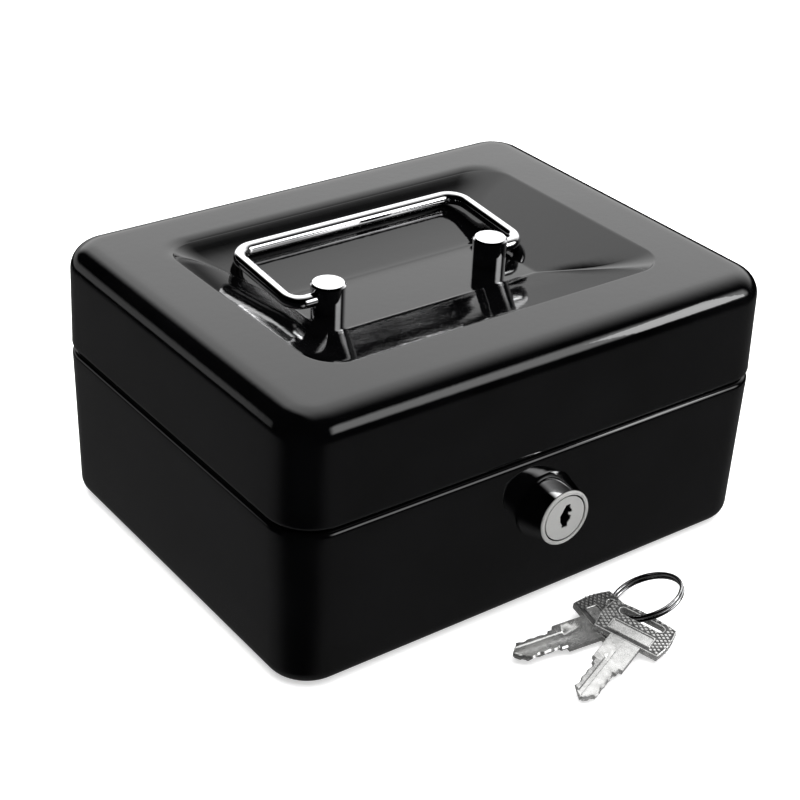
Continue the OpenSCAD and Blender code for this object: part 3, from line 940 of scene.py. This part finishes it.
paint = paint_material()
chrome = chrome_material()
nickel = metal_material("satin_nickel", (0.52, 0.52, 0.51), (0.74, 0.74, 0.73), (0.14, 0.24),
                        metallic=0.88)
# a lit copy of the satin nickel for the front key: the same plating, made paler and more diffuse as
# painted light
nickel_lit_copy = metal_material("nickel_lit_copy", (0.56, 0.56, 0.55), (0.78, 0.78, 0.77), (0.2, 0.32),
                               metallic=0.72)
# near-black nickel for the knurl's ground: painted shade between the pyramids
knurl_shade_nickel = metal_material("knurl_shade_nickel", (0.03, 0.03, 0.03), (0.09, 0.09, 0.09), (0.35, 0.5),
                             metallic=0.4)
zinc = metal_material("zinc_plate", (0.50, 0.51, 0.52), (0.64, 0.65, 0.66), (0.25, 0.42))
brass = metal_material("stamped_brass", (0.62, 0.44, 0.18), (0.74, 0.55, 0.26), (0.22, 0.38))
steel = metal_material("drawn_wire", (0.58, 0.58, 0.59), (0.72, 0.72, 0.73), (0.12, 0.24))
plastic = plastic_material()

SLOT_MATERIALS = {"black_paint": paint, "chrome": chrome, "nickel": nickel, "zinc_plate": zinc,
                  "brass": brass, "spring_steel": steel, "black_plastic": plastic}

# every CAD node starts with its slot's material; the pieces below stand for some of them
for part in frame["record"]["subparts"]:
    node = frame["nodes"][part["node"]]
    node.data.materials.clear()
    node.data.materials.append(SLOT_MATERIALS[part["material_slot"]])

add_object("lid_sheet", lid_mesh(), paint, "lid", ["lid_shell"])
add_object("base_sheet", base_mesh(), paint, "box", ["base_shell"])

add_object("bail", bail_mesh(), chrome, "handle", ["handle_bail"])
add_object("lock_bezel", lock_body_mesh(), chrome, "box", ["lock_body"])
lip = lock_lip_mesh()
lip_front = min(v.co.y for v in lip.vertices)
# the lip goes near black behind its face: painted shade in the gap round the plug
add_object("lock_lip", lip, face_material(lip_front + 0.2 * MM), "box")
# the plug's keyway walls go near black: painted shade
plug = frame["nodes"]["lock_plug"].data
plug.materials[0] = face_material(min(v.co.y for v in plug.vertices))
key_pieces = [
    add_object("front_key", key_mesh("front_key", *FRONT_KEY), nickel_lit_copy, "key_set",
               ["key_front"]),
    add_object("front_knurl_shade_bed", bed_mesh("front_knurl_shade_bed", *FRONT_KEY), knurl_shade_nickel, "key_set"),
    add_object("rear_key", key_mesh("rear_key", *REAR_KEY), nickel, "key_set", ["key_rear"]),
    add_object("rear_knurl_shade_bed", bed_mesh("rear_knurl_shade_bed", *REAR_KEY), knurl_shade_nickel, "key_set"),
    add_object("split_ring", ring_mesh(), steel, "key_set", ["key_ring"]),
]
for piece in key_pieces:
    piece.visible_glossy = False    # the paint mirrors the box's surroundings without them

# the rest of the nodes are carried over, with their edges rounded
for name in ("handle_post_left", "handle_post_right"):
    round_edges(name, 0.25, 3)
round_edges("lock_plug", 0.12, 2, 60)
for name in ("hinge_leaf_base", "hinge_leaf_lid", "strike_plate", "lock_nut", "lock_cam", "lock_washer",
             "cam_washer", "post_washers"):
    round_edges(name, 0.15)
for name in ("cam_screw", "post_screws", "hinge_rivets_base", "hinge_rivets_lid", "hinge_pin"):
    round_edges(name, 0.12)
round_edges("coin_tray", 0.45, 3)

add_floor()
add_world()
add_panel("ceiling", place=(0.1, 0.1, 1.6), aim=(0, 0, 0), size=2.6, power=60)
add_panel("lock_card", place=(0.112, -0.132, 0.108), aim=(0.006, -0.054, 0.034), size=0.045,
          power=0.034, mirrored=True)
bpy.context.scene.view_settings.view_transform = "Standard"
